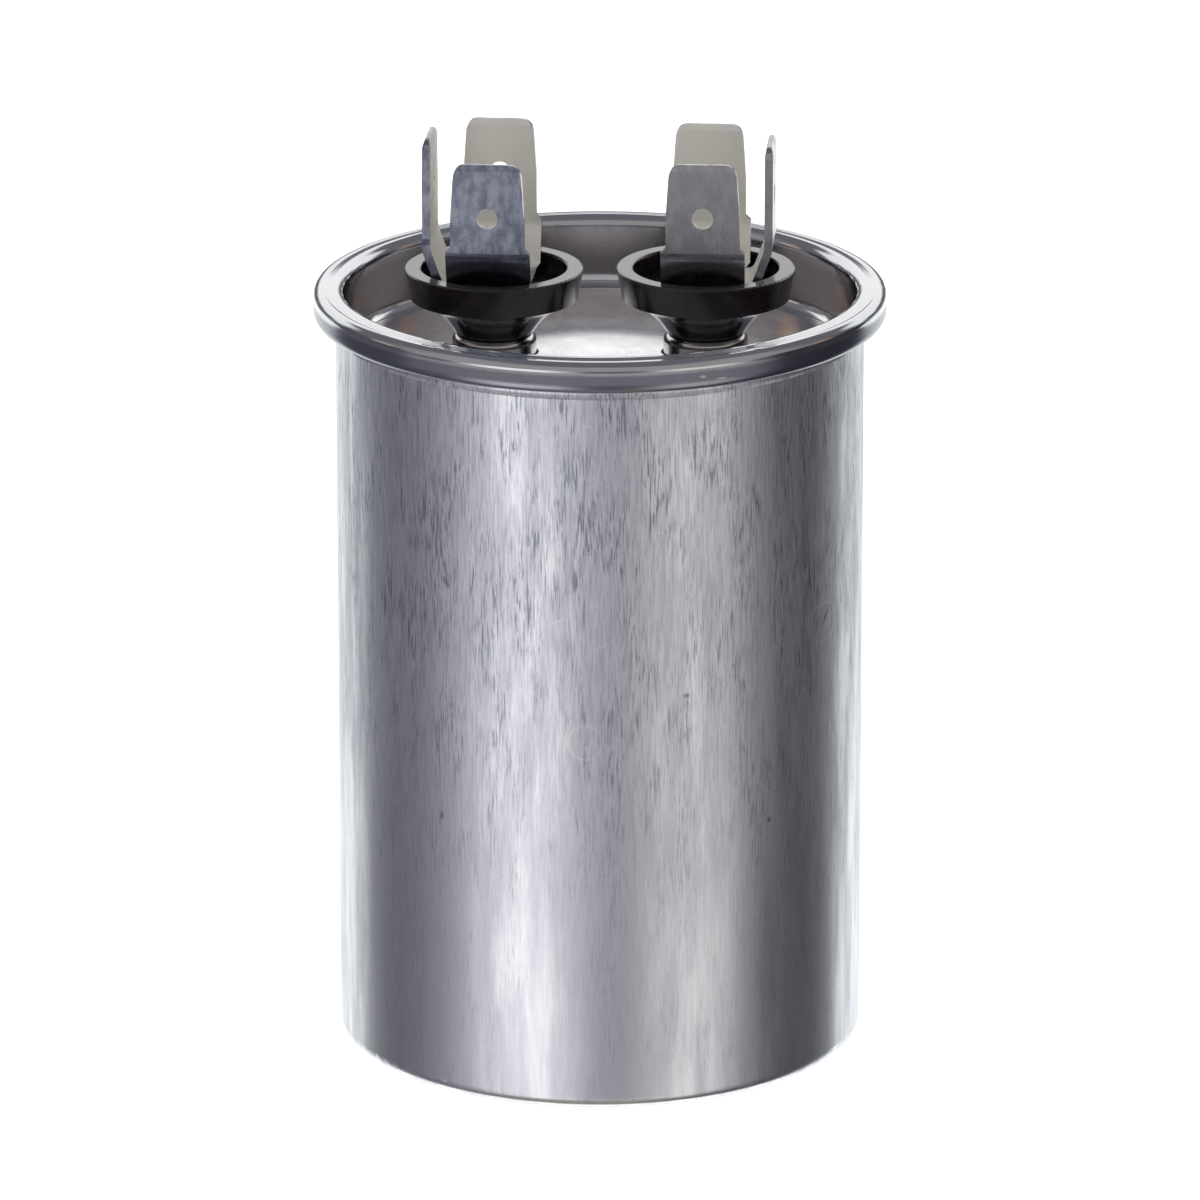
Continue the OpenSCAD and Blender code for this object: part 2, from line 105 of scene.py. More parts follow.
class Nodes:
    """A node tree that is being built, of a material or of the world."""

    def __init__(self, tree: bpy.types.NodeTree) -> None:
        """Start from an empty tree.

        Args:
            tree: The node tree of the material or the world.
        """
        self.tree = tree
        self.tree.nodes.clear()

    def add(
        self, kind: str, *values: Any, named: dict[str, Any] | None = None, **settings: Any
    ) -> Any:
        """Add one node with its settings and links.

        Args:
            kind: The node's type, by Blender's name without the leading "ShaderNode".
            values: What the sockets in use take, in their order. Each is a plain value, a node,
                whose first output in use is taken, or an output socket.
            named: What further sockets take, by the socket's name.
            settings: The node's own properties.

        Returns:
            The new node.
        """
        node = self.tree.nodes.new(f"ShaderNode{kind}")
        for name, value in settings.items():
            setattr(node, name, value)
        pairs = list(zip([socket for socket in node.inputs if socket.enabled], values))
        pairs += [(node.inputs[name], value) for name, value in (named or {}).items()]
        for socket, value in pairs:
            if isinstance(value, bpy.types.Node):
                value = next(output for output in value.outputs if output.enabled)
            if isinstance(value, bpy.types.NodeSocket):
                self.tree.links.new(value, socket)
            else:
                socket.default_value = value
        return node

    def layers(self, base: Colour, *over: tuple[Any, Colour]) -> Any:
        """Lay colours over one another.

        Args:
            base: The lowest colour, linear.
            over: How much of each next colour shows, from 0 to 1, with that colour, linear.

        Returns:
            The colour that is seen from above.
        """
        tone: Any = base
        for amount, colour in over:
            tone = self.add("Mix", amount, tone, colour, data_type="RGBA")
        return tone


class Finish(Nodes):
    """A material that is being built, with the patterns that the finishes share."""

    RING_EDGE = 0.12  # how far a ring's line reaches to each side, in parts of the ring's radius
    RING_SHOWS = 0.5  # how strong the line of a ring is
    MARK_CORE = 0.35  # how much of a full mark is even, before it fades towards its edge

    def __init__(self, name: str) -> None:
        """Make an empty material.

        Args:
            name: The material's name.
        """
        self.material = bpy.data.materials.new(name)
        self.material.use_nodes = True
        super().__init__(self.material.node_tree)
        self.place = self.add("TexCoord").outputs["Object"]

    def grain(self, grain: Grain) -> Any:
        """Lay a noise of a real size over the surface.

        Args:
            grain: The noise's size and layers.

        Returns:
            The node that gives its value, from 0 to 1.
        """
        place = self.add("Mapping", named={"Vector": self.place, "Scale": grain.scale()})
        layers = {"Detail": grain.detail, "Roughness": grain.roughness}
        return self.add("TexNoise", named={"Vector": place, "Scale": 1.0, **layers})

    def relief(self, *patterns: tuple[Any, float]) -> Any:
        """Raise the surface by patterns, each on top of the one before.

        Args:
            patterns: Each pattern, with the height in millimetres that its value of 1 stands for.

        Returns:
            The node whose normal the shader takes.
        """
        raised = None
        for height, depth in patterns:
            sockets = {"Height": height, "Strength": 1.0, "Distance": depth * MM}
            if raised:
                sockets["Normal"] = raised
            raised = self.add("Bump", named=sockets)
        return raised

    def turn(self) -> Any:
        """Measure the turn round the can's axis.

        Returns:
            The node that gives the degrees from the front towards +X.
        """
        axes = self.add("SeparateXYZ", self.place)
        ahead = self.add("Math", axes.outputs["Y"], -1.0, operation="MULTIPLY")
        round_about = self.add("Math", axes.outputs["X"], ahead, operation="ARCTAN2")
        return self.add("Math", round_about, operation="DEGREES")

    def marked(self, marks: tuple[Mark, ...]) -> Any:
        """Draw small marks: marks of handling, painted shade of dented spots and painted glints.

        Args:
            marks: Where they are and how large.

        Returns:
            How much of a mark there is, from 0 to 1.
        """
        upright = self.add("SeparateXYZ", self.place).outputs["Z"]
        height = self.add("Math", upright, MM, operation="DIVIDE")
        unrolled = self.add("CombineXYZ", self.turn(), height)
        total: Any = 0.0
        for mark in marks:
            spot = {
                "Vector": unrolled,
                "Location": (mark.turn, mark.height, 0.0),
                "Rotation": (0.0, 0.0, math.radians(mark.lean)),
                "Scale": (mark.width, mark.length, 1.0),
            }
            near = self.add("Mapping", named=spot, vector_type="TEXTURE")
            far = self.add("VectorMath", near, operation="LENGTH")
            if mark.hollow:
                far = self.add("Math", far, 1.0, operation="SUBTRACT")
                far = self.add("Math", far, operation="ABSOLUTE")
                span = (self.RING_EDGE, 0.0, 0.0, self.RING_SHOWS)
            else:
                span = (1.0, self.MARK_CORE, 0.0, 1.0)
            shape = self.add("MapRange", far, *span, **SMOOTH)
            total = self.add("Math", shape, total, operation="MAXIMUM")
        return total

    def shade(self, **sockets: Any) -> bpy.types.Material:
        """Close the tree with a shader.

        Args:
            sockets: What the shader's sockets take, with an underscore for each space.

        Returns:
            The finished material.
        """
        named = {name.replace("_", " "): value for name, value in sockets.items()}
        self.add("OutputMaterial", self.add("BsdfPrincipled", named=named))
        return self.material


@dataclass(frozen=True)
class DrawnAluminium:
    """Bare aluminium, deep drawn and ironed through a die.

    The die leaves short upright scores in clusters, so the metal looks streaky and its reflections
    spread sideways. Near the foot it was drawn least and stays smoother and brighter. Real scores
    are a few hundredths of a millimetre wide. They are drawn three to five times as wide here,
    because finer ones would not show. Heights and depths are in millimetres.
    """

    name: str = "aluminium_drawn_can"
    pale: str = "#f1f1f6"
    deep: str = "#c3c4d0"
    scored: str = "#7f828f"
    # the smudges' colour and the painted shade of dented spots
    smudge_and_dent_shade: str = "#7d808c"
    score: Grain = Grain((0.16, 0.16, 2.6), 3.0, 0.6)
    dash: Grain = Grain((0.15, 0.15, 1.9), 2.0, 0.55)
    cluster: Grain = Grain((1.9, 1.9, 7.0), 2.0, 0.55)
    cloud: Grain = Grain((1.7, 1.7, 13.0), 3.0, 0.55)
    speck: Grain = Grain((0.2, 0.2, 0.26), 1.0, 0.5)
    wave: Grain = Grain((4.0, 4.0, 30.0), 1.0, 0.4)
    cloud_shows: Span = (0.3, 0.7, 0.0, 0.5)
    score_shows: Span = (0.4, 0.68, 0.0, 0.85)
    dash_shows: Span = (0.48, 0.66, 0.0, 0.8)
    cluster_shows: Span = (0.42, 0.62, 0.12, 1.0)
    speck_shows: Span = (0.7, 0.78, 0.0, 1.0)
    dull: Span = (0.3, 0.7, 0.3, 0.38)
    dull_by_drawing: Span = (0.0, 1.0, 0.85, 1.05)
    smooth_below: float = 6.0
    drawn_above: float = 50.0
    least_drawn: float = 0.25
    mark_shows: float = 0.7
    glint_shows: float = 0.6
    wave_depth: float = 0.03
    score_depth: float = 0.0025
    spread: float = 0.6
    dark_marks: tuple[Mark, ...] = ()
    light_marks: tuple[Mark, ...] = ()

    def make(self) -> bpy.types.Material:
        """Build the material.

        Returns:
            The finished material.
        """
        finish = Finish(self.name)
        height = finish.add("SeparateXYZ", finish.place).outputs["Z"]
        rise = (self.smooth_below * MM, self.drawn_above * MM, self.least_drawn, 1.0)
        drawn = finish.add("MapRange", height, *rise, **SMOOTH)
        scores = finish.grain(self.score)
        cloud = finish.grain(self.cloud)

        # Scores and dashes are strongest where the wall was drawn most, dashes also in clusters.
        fine = finish.add("MapRange", scores, *self.score_shows, **SMOOTH)
        fine = finish.add("Math", fine, drawn, operation="MULTIPLY")
        dark = finish.add("MapRange", finish.grain(self.dash), *self.dash_shows, **SMOOTH)
        dark = finish.add("Math", dark, drawn, operation="MULTIPLY")
        cluster = finish.add("MapRange", finish.grain(self.cluster), *self.cluster_shows, **SMOOTH)
        # Dark marks: smudges, and dented spots drawn as painted shade.
        dents = finish.marked(self.dark_marks)
        # White specks are painted glints; the light marks are real rubs and scratches.
        speck = finish.add("MapRange", finish.grain(self.speck), *self.speck_shows, **SMOOTH)
        glint = finish.add("Math", speck, finish.marked(self.light_marks), operation="MAXIMUM")
        tone = finish.layers(
            linear(self.pale),
            (finish.add("MapRange", cloud, *self.cloud_shows, **SMOOTH), linear(self.deep)),
            (fine, linear(self.deep)),
            (finish.add("Math", dark, cluster, operation="MULTIPLY"), linear(self.scored)),
            (finish.add("Math", dents, self.mark_shows, operation="MULTIPLY"), linear(self.smudge_and_dent_shade)),
            (finish.add("Math", glint, self.glint_shows, operation="MULTIPLY"), linear(WHITE)),
        )
        dull = finish.add(
            "Math",
            finish.add("MapRange", cloud, *self.dull, **SMOOTH),
            finish.add("MapRange", drawn, *self.dull_by_drawing, **SMOOTH),
            operation="MULTIPLY",
        )
        return finish.shade(
            Base_Color=tone,
            Metallic=1.0,
            Roughness=dull,
            Anisotropic=self.spread,
            Tangent=finish.add("Tangent", direction_type="RADIAL", axis="Z"),
            Normal=finish.relief(
                (finish.grain(self.wave), self.wave_depth), (scores, self.score_depth)
            ),
        )


@dataclass(frozen=True)
class RolledTinplate:
    """Tin-plated steel sheet, pressed and seamed.

    The panel stays nearly a mirror and reflects as if it were dished by a little over a
    millimetre. The recess's wall is painted a darker brownish grey, as painted shade and a
    painted warm reflection in the recess, and the crown is painted a little darker, as painted
    shade. The seaming rolls left the rim's outer face duller, slightly rounded and lined round
    the axis; its darker blue-grey colour is painted shade.

    Where the wall, the crown and the face lie is in metres, and so is every `fade`. `line`, the
    depths and the dish's edge and radius are in millimetres. `lean` is in millimetres per
    millimetre of fall.
    """

    name: str = "tinplate_pressed_lid"
    pale: str = "#e3e4e5"
    deep: str = "#bbbcc0"
    # painted shade and painted warm reflection on the recess's wall
    recess_shade: str = "#bab1ae"
    # painted shade on the crown of the rim
    crown: str = "#bcbec0"
    # painted shade on the rim's outer face
    rolled: str = "#8b8c99"
    # painted warm glints on the rim's outer face
    glint: str = "#ffe0cb"
    line: float = 0.18
    line_detail: float = 2.0
    cloud: Grain = Grain((2.5, 2.5, 2.5), 3.0, 0.6)
    speck: Grain = Grain((0.2, 0.2, 0.2), 2.0, 0.6)
    cloud_shows: Span = (0.3, 0.7, 0.0, 0.5)
    line_shows: Span = (0.35, 0.7, 0.0, 0.25)
    face_shows: Span = (0.0, 0.4, 0.0, 1.0)
    dull: Span = (0.3, 0.8, 0.06, 0.11)
    recess_shade_shows: float = 0.7
    crown_shade_shows: float = 0.85
    face_shade_shows: float = 0.85
    glint_shows: float = 0.8
    wall_dull: float = 0.1
    face_dull: float = 0.14
    wall_low: float = 0.0
    wall_low_fade: float = 0.6 * MM
    wall_high: float = 1.0
    wall_high_fade: float = 0.8 * MM
    wall_out: float = 0.0
    crown_fade: float = 0.3 * MM
    face_in: float = 0.0
    face_top: float = 0.0
    line_depth: float = 0.0008
    lean: float = 0.2
    dish_edge: float = 20.4
    dish_curve: float = 160.0
    glints: tuple[Mark, ...] = ()

    def make(self) -> bpy.types.Material:
        """Build the material.

        Returns:
            The finished material.
        """
        finish = Finish(self.name)
        axes = finish.add("SeparateXYZ", finish.place)
        height = axes.outputs["Z"]
        flat = finish.add("CombineXYZ", axes.outputs["X"], axes.outputs["Y"])
        out = finish.add("VectorMath", flat, operation="LENGTH")
        spun = finish.add("CombineXYZ", out, height)
        fine = {"Vector": spun, "Scale": 1 / (self.line * MM), "Detail": self.line_detail}
        rings = finish.add("TexNoise", named=fine)

        # The recess's wall lies between two heights and inside one radius.
        low = (self.wall_low, self.wall_low + self.wall_low_fade, 0.0, 1.0)
        high = (self.wall_high, self.wall_high - self.wall_high_fade, 0.0, 1.0)
        above = finish.add("MapRange", height, *low, **SMOOTH)
        below = finish.add("MapRange", height, *high, **SMOOTH)
        within = finish.add("Math", out, self.wall_out, operation="LESS_THAN")
        wall = finish.add("Math", above, below, operation="MULTIPLY")
        wall = finish.add("Math", wall, within, operation="MULTIPLY")

        # The rim's outer face starts where the crown's shoulder ends; `fall` is in millimetres.
        outside = finish.add("Math", out, self.face_in, operation="GREATER_THAN")
        fall = finish.add("Math", self.face_top, height, operation="SUBTRACT")
        fall = finish.add("Math", fall, 0.0, operation="MAXIMUM")
        fall = finish.add("Math", fall, MM, operation="DIVIDE")
        fall = finish.add("Math", fall, outside, operation="MULTIPLY")
        face = finish.add("MapRange", fall, *self.face_shows, **SMOOTH)
        # The crown's band: its darker colour is painted shade.
        top = (self.wall_high - self.crown_fade, self.wall_high + self.crown_fade, 0.0, 1.0)
        crown = finish.add("MapRange", height, *top, **SMOOTH)

        cloud = finish.add("MapRange", finish.grain(self.cloud), *self.cloud_shows, **SMOOTH)
        lines = finish.add("MapRange", rings, *self.line_shows, **SMOOTH)
        layers = [(cloud, self.deep), (lines, self.deep)]
        for where, amount, colour in (
            # the recess's wall: painted shade and painted warm reflection
            (wall, self.recess_shade_shows, self.recess_shade),
            # the crown: painted shade
            (crown, self.crown_shade_shows, self.crown),
            # the rim's outer face: painted shade
            (face, self.face_shade_shows, self.rolled),
            # painted warm glints on the rim's outer face
            (finish.marked(self.glints), self.glint_shows, self.glint),
        ):
            layers.append((finish.add("Math", where, amount, operation="MULTIPLY"), colour))
        tone = finish.layers(
            linear(self.pale), *((amount, linear(colour)) for amount, colour in layers)
        )
        dull = finish.add("MapRange", finish.grain(self.speck), *self.dull, **SMOOTH)
        for where, more in ((wall, self.wall_dull), (face, self.face_dull)):
            more = finish.add("Math", where, more, operation="MULTIPLY")
            dull = finish.add("Math", dull, more, operation="ADD")

        # A parabola up to the dish's edge gives the panel the reflections of a shallow bowl.
        inward = finish.add("Math", out, self.dish_edge * MM, operation="DIVIDE")
        inward = finish.add("Math", inward, 1.0, operation="MINIMUM")
        bowl = finish.add("Math", inward, 2.0, operation="POWER")
        bowl_depth = self.dish_edge**2 / (2 * self.dish_curve)
        leaning = finish.add("Math", fall, self.lean, operation="MULTIPLY")
        relief = finish.relief((rings, self.line_depth), (leaning, 1.0), (bowl, bowl_depth))
        return finish.shade(Base_Color=tone, Metallic=1.0, Roughness=dull, Normal=relief)


@dataclass(frozen=True)
class MouldedPhenolic:
    """Black phenolic, compression moulded in a polished die.

    The skin is glossy with a faint ripple, and a little brown shows in soft clouds that follow
    the ripple.
    """

    name: str
    body: str = "#0e0e11"
    warm: str = "#1d1512"
    ripple: Grain = Grain((1.6, 1.6, 1.6), 2.0, 0.5)
    dust: Grain = Grain((0.11, 0.11, 0.11), 3.0, 0.7)
    warm_shows: Span = (0.35, 0.7, 0.0, 1.0)
    dull: Span = (0.35, 0.75, 0.16, 0.3)
    ripple_depth: float = 0.006
    ior: float = 1.5
    skin: float = 0.45
    skin_dull: float = 0.1

    def make(self) -> bpy.types.Material:
        """Build the material.

        Returns:
            The finished material.
        """
        finish = Finish(self.name)
        ripple = finish.grain(self.ripple)
        brown = finish.add("MapRange", ripple, *self.warm_shows, **SMOOTH)
        return finish.shade(
            Base_Color=finish.layers(linear(self.body), (brown, linear(self.warm))),
            Roughness=finish.add("MapRange", finish.grain(self.dust), *self.dull, **SMOOTH),
            IOR=self.ior,
            Coat_Weight=self.skin,
            Coat_Roughness=self.skin_dull,
            Normal=finish.relief((ripple, self.ripple_depth)),
        )


@dataclass(frozen=True)
class TinnedBrass:
    """Brass strip, tin plated after stamping.

    The outer side was rubbed bright by the bending tools and shows a cloudy mottle, fine rolling
    lines and short scratches. The inner side of the three tabs has a rougher plating, and its
    near-white colour is painted light. `middle` is the X of the terminal's own axis, and a face
    that looks towards that axis is an inner one.
    """

    name: str
    middle: float
    pale: str
    deep: str
    clouding: float
    # near white: painted light on the inner sides
    lit_inner_white: str = "#fffdf6"
    bright: str = "#f2f2f0"
    mottle: Grain = Grain((0.9, 0.9, 1.6), 4.0, 0.6)
    lines: Grain = Grain((0.07, 0.07, 1.6), 2.0, 0.5)
    scratch: Grain = Grain((0.9, 0.9, 0.9), 1.0, 0.4)
    mottle_from: float = 0.35
    mottle_to: float = 0.65
    line_shows: Span = (0.4, 0.75, 0.0, 0.25)
    scratch_line: Span = (0.006, 0.0, 0.0, 1.0)
    scratch_where: Span = (0.5, 0.62, 0.0, 1.0)
    scratch_shows: float = 0.5
    dull: Span = (0.3, 0.7, 0.2, 0.32)
    matt_dull: float = 0.36
    line_depth: float = 0.0008
    mottle_depth: float = 0.002

    def make(self) -> bpy.types.Material:
        """Build the material.

        Returns:
            The finished material.
        """
        finish = Finish(self.name)
        mottle = finish.grain(self.mottle)
        lines = finish.grain(self.lines)

        # A face is an inner one where its normal points back to the terminal's own axis.
        axis = (self.middle, 0.0, 0.0)
        reach = finish.add("VectorMath", finish.place, axis, operation="SUBTRACT")
        level = finish.add("VectorMath", reach, (1.0, 1.0, 0.0), operation="MULTIPLY")
        facing = finish.add("NewGeometry").outputs["Normal"]
        outward = finish.add("VectorMath", level, facing, operation="DOT_PRODUCT")
        inner = finish.add("Math", outward, 0.0, operation="LESS_THAN")

        # A scratch runs along the line where its noise is at the middle of its range.
        off = finish.add("Math", finish.grain(self.scratch), 0.5, operation="SUBTRACT")
        off = finish.add("Math", off, operation="ABSOLUTE")
        hair = finish.add(
            "Math",
            finish.add("MapRange", off, *self.scratch_line, **SMOOTH),
            finish.add("MapRange", mottle, *self.scratch_where, **SMOOTH),
            operation="MULTIPLY",
        )
        hair = finish.add("Math", hair, self.scratch_shows, operation="MULTIPLY")
        shows = (self.mottle_from, self.mottle_to, 0.0, self.clouding)
        tone = finish.layers(
            linear(self.pale),
            (finish.add("MapRange", mottle, *shows, **SMOOTH), linear(self.deep)),
            (finish.add("MapRange", lines, *self.line_shows, **SMOOTH), linear(self.deep)),
            (hair, linear(self.bright)),
            # Inner faces: painted light.
            (inner, linear(self.lit_inner_white)),
        )
        dull = finish.add("MapRange", mottle, *self.dull, **SMOOTH)
        more = finish.add("Math", inner, self.matt_dull, operation="MULTIPLY")
        dull = finish.add("Math", dull, more, operation="ADD")
        relief = finish.relief((lines, self.line_depth), (mottle, self.mottle_depth))
        return finish.shade(Base_Color=tone, Metallic=1.0, Roughness=dull, Normal=relief)


@dataclass(frozen=True)
class Plain:
    """A finish of two tones in cells of one real size, with a range of gloss and a fine relief."""

    name: str
    pale: str
    deep: str
    cell: Size
    dull_low: float
    dull_high: float
    depth: float
    low: float = 0.3
    high: float = 0.7

    def body(self) -> dict[str, float]:
        """Give the shader's sockets that tell what kind of body it is."""
        raise NotImplementedError

    def make(self) -> bpy.types.Material:
        """Build the material.

        Returns:
            The finished material.
        """
        finish = Finish(self.name)
        grain = finish.grain(Grain(self.cell))
        pale = finish.add("MapRange", grain, self.low, self.high, 0.0, 1.0, **SMOOTH)
        gloss = (self.low, self.high, self.dull_high, self.dull_low)
        return finish.shade(
            Base_Color=finish.layers(linear(self.deep), (pale, linear(self.pale))),
            Roughness=finish.add("MapRange", grain, *gloss, **SMOOTH),
            Normal=finish.relief((grain, self.depth)),
            **self.body(),
        )


class Metal(Plain):
    """A plain metal finish."""

    def body(self) -> dict[str, float]:
        """Give the socket that makes it a metal."""
        return {"Metallic": 1.0}


class Dielectric(Plain):
    """A moulded, extruded or rolled non-metal."""

    INDEX = 1.5  # the refractive index that rubbers, plastics and board are all near

    def body(self) -> dict[str, float]:
        """Give the refractive index."""
        return {"IOR": self.INDEX}


def dress(material: bpy.types.Material, *nodes: str) -> None:
    """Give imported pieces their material.

    Args:
        material: The finish that they get.
        nodes: The pieces' node names.
    """
    for node in nodes:
        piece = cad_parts[node]
        piece.data.materials.clear()
        piece.data.materials.append(material)
        LOG.info("%s: %s", node, material.name)


@dataclass
class SealedCan:
    """The drawn can, the seamed lid and the compound between them.

    The fields say how far each part of the lid's finish lies from the lid's outermost faces.
    """

    fillet: float = 1.0 * MM
    bead: float = 0.9 * MM
    seam: float = 2.2 * MM
    shoulder: float = 0.9 * MM
    lid_low: Vector = field(init=False)
    lid_high: Vector = field(init=False)

    def __post_init__(self) -> None:
        """Read the lid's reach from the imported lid."""
        self.lid_low, self.lid_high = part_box("lid")

    def dark_marks(self) -> tuple[Mark, ...]:
        """List the small dark marks of handling on the can: smudges, and dented spots drawn as
        painted shade.
        """
        return (  # turn, height, width, length and lean
            Mark(-5.4, 47.0, 0.9, 1.4),
            Mark(-3.4, 44.2, 0.35, 2.2),
            Mark(-35.0, 45.7, 1.3, 0.45, -25.0),
            Mark(18.8, 36.6, 1.1, 0.28),
            Mark(58.0, 40.6, 2.0, 0.3, 25.0),
            Mark(39.5, 24.3, 0.7, 0.35),
            Mark(-36.5, 24.9, 0.7, 0.5),
        )

    def light_marks(self) -> tuple[Mark, ...]:
        """List the faint round rubs and short scratches on the can."""
        return (  # turn, height, width, length, lean and whether it is a ring
            Mark(-3.2, 32.8, 3.6, 1.5, 0.0, True),
            Mark(57.0, 40.2, 5.5, 1.7, 0.0, True),
            Mark(-9.0, 43.4, 2.6, 0.06, 8.0),
            Mark(0.5, 41.3, 3.4, 0.06, 9.0),
        )

    def glints(self) -> tuple[Mark, ...]:
        """List the two small warm glints painted on the rim's outer face."""
        return Mark(20.5, 64.9, 0.9, 0.18), Mark(24.5, 64.6, 1.4, 0.1)

    def build(self) -> None:
        """Dress the can, the lid and the seam's compound."""
        can = DrawnAluminium(dark_marks=self.dark_marks(), light_marks=self.light_marks())
        lid = RolledTinplate(
            wall_low=self.lid_low.z + self.fillet,
            wall_high=self.lid_high.z - self.bead,
            wall_out=self.lid_high.x - self.seam,
            face_in=self.lid_high.x - self.shoulder,
            face_top=self.lid_high.z - self.shoulder,
            glints=self.glints(),
        )
        # Olive green rubber, squeezed out flat: dull, with a grain too fine to see as cells.
        compound = Dielectric(
            "rubber_seam_compound",
            pale="#50523f", deep="#3a3c30", cell=(0.3, 0.3, 0.3),
            dull_low=0.55, dull_high=0.75, depth=0.01,
        )
        dress(can.make(), "can")
        dress(lid.make(), "lid")
        dress(compound.make(), "seam_compound")


@dataclass
class TerminalStack:
    """One terminal from its tabs down to the tag under the lid.

    The tin plating differs a little from side to side: `pale`, `deep` and `clouding` say how.
    """

    side: Side
    pale: str
    deep: str
    clouding: float

    def plating(self) -> TinnedBrass:
        """Describe the terminal's tin plating.

        Returns:
            The plating, with the terminal's own axis read from its insulator.
        """
        low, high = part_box(f"insulator_{self.side}")
        middle = (low.x + high.x) / 2
        return TinnedBrass(
            f"brass_tinned_{self.side}", middle, self.pale, self.deep, self.clouding
        )

    def build(self) -> None:
        """Dress the insulator, terminal, rivet, gasket, washer and contact tag."""
        # The rivet's plating was stretched as it was set: brighter and plainer than the tabs'.
        rivet = Metal(
            f"brass_tinned_rivet_{self.side}",
            pale="#d5d3cd", deep="#a3a29e", cell=(0.5, 0.5, 0.5),
            dull_low=0.22, dull_high=0.36, depth=0.004,
        )
        # Black rubber with the dull skin of a plain mould.
        gasket = Dielectric(
            f"rubber_moulded_gasket_{self.side}",
            pale="#34302e", deep="#262322", cell=(0.25, 0.25, 0.25),
            dull_low=0.5, dull_high=0.7, depth=0.01,
        )
        # Natural nylon, cream and half glossy, with a slow wave where it shrank.
        washer = Dielectric(
            f"nylon_moulded_washer_{self.side}",
            pale="#ded8c6", deep="#cfc8b4", cell=(0.8, 0.8, 0.8),
            dull_low=0.35, dull_high=0.5, depth=0.004,
        )
        # Bare brass strip: yellow, with the fine lines of the rolls along it.
        tag = Metal(
            f"brass_rolled_tag_{self.side}",
            pale="#dcc68d", deep="#b89d5f", cell=(0.1, 1.5, 1.5),
            dull_low=0.25, dull_high=0.4, depth=0.002,
        )
        dress(MouldedPhenolic(f"phenolic_moulded_{self.side}").make(), f"insulator_{self.side}")
        dress(self.plating().make(), f"terminal_{self.side}")
        dress(rivet.make(), f"rivet_{self.side}")
        dress(gasket.make(), f"gasket_{self.side}")
        dress(washer.make(), f"inner_washer_{self.side}")
        dress(tag.make(), f"contact_tag_{self.side}")


@dataclass
class Interrupter:
    """The moulded disc that tears the tags off when the lid bulges."""

    cell: float = 0.9

    def build(self) -> None:
        """Dress the disc."""
        # Filled polyester: off-white and rather dull, faintly clouded by its filler.
        disc = Dielectric(
            "polyester_moulded_disc",
            pale="#e8e3d6", deep="#d8d2c2", cell=(self.cell,) * 3,
            dull_low=0.4, dull_high=0.55, depth=0.005,
        )
        dress(disc.make(), "interrupter_disc")


@dataclass
class Leads:
    """The two leads with their tubes and solder joints."""

    strand: float = 0.2

    def build(self) -> None:
        """Dress both leads, both tubes and both solder joints."""
        # Tinned copper strands: grey-white, with a relief as coarse as one strand.
        wire = Metal(
            "copper_tinned_wire",
            pale="#cfccc5", deep="#9d9a93", cell=(self.strand,) * 3,
            dull_low=0.3, dull_high=0.42, depth=0.01,
        )
        # Extruded plastic: cream and smooth, with faint long die lines.
        tube = Dielectric(
            "polymer_extruded_tube",
            pale="#efece2", deep="#e2ddcf", cell=(0.4, 0.4, 3.0),
            dull_low=0.3, dull_high=0.45, depth=0.003,
        )
        # Solder that has flowed: bright, with soft dull clouds where it set last.
        solder = Metal(
            "solder_flowed",
            pale="#c9c9cc", deep="#a0a0a5", cell=(0.7, 0.7, 0.7),
            dull_low=0.25, dull_high=0.45, depth=0.01,
        )
        dress(wire.make(), "lead_left", "lead_right")
        dress(tube.make(), "lead_tube_left", "lead_tube_right")
        dress(solder.make(), "solder_top", "solder_bottom")


@dataclass
class WoundElement:
    """The film winding, its core, sprayed ends, sleeve and bottom cup.

    A real turn of film is thinner than a hundredth of a millimetre. `turn` draws the turns as
    coarse as they need to be to show.
    """

    turn: float = 0.12

    def build(self) -> None:
        """Dress the winding and everything that holds it."""
        # Sprayed zinc: grey and matt, with the roughness of the drops.
        spray = Metal(
            "zinc_sprayed_end",
            pale="#9fa1a3", deep="#6d6f72", cell=(0.35, 0.35, 0.35),
            dull_low=0.5, dull_high=0.7, depth=0.03,
        )
        # Metallised film: bluish silver through a clear skin, in fine upright turns.
        film = Dielectric(
            "polypropylene_metallised_film",
            pale="#ccd1da", deep="#a9b0bb", cell=(self.turn, self.turn, 6.0),
            dull_low=0.2, dull_high=0.32, depth=0.003,
        )
        # Natural polypropylene tube: waxy cream with faint die lines.
        core = Dielectric(
            "polypropylene_extruded_core",
            pale="#efeadd", deep="#ddd6c4", cell=(1.2, 1.2, 4.0),
            dull_low=0.35, dull_high=0.5, depth=0.004,
        )
        # Rolled pressboard: tan and matt, with fibres along its length.
        sleeve = Dielectric(
            "pressboard_rolled_sleeve",
            pale="#d6c39b", deep="#b9a378", cell=(0.4, 0.4, 2.4),
            dull_low=0.65, dull_high=0.85, depth=0.012,
        )
        # Moulded polypropylene: milky white, with the slow wave of shrinkage.
        cup = Dielectric(
            "polypropylene_moulded_cup",
            pale="#ebebe7", deep="#dcdcd6", cell=(1.5, 1.5, 1.5),
            dull_low=0.35, dull_high=0.5, depth=0.004,
        )
        dress(spray.make(), "end_spray_top", "end_spray_bottom")
        dress(film.make(), "film_winding")
        dress(core.make(), "winding_core")
        dress(sleeve.make(), "element_sleeve")
        dress(cup.make(), "bottom_cup")


@dataclass(frozen=True)
class Card:
    """A bright or dark panel of the studio, as far away as the walls.

    Angles are in degrees: `turn` from straight in front of the object towards its right, `low` and
    `high` above the horizon. `soft` and `fade` are the widths of its soft edges, sideways and
    upwards.
    """

    turn: float
    half_width: float
    soft: float
    low: float
    high: float
    fade: float
    colour: str
    strength: float


@dataclass(frozen=True)
class Lamp:
    """A soft square lamp that faces the object: place and side in metres, power in watts."""

    name: str
    place: Size
    side: float
    watts: float


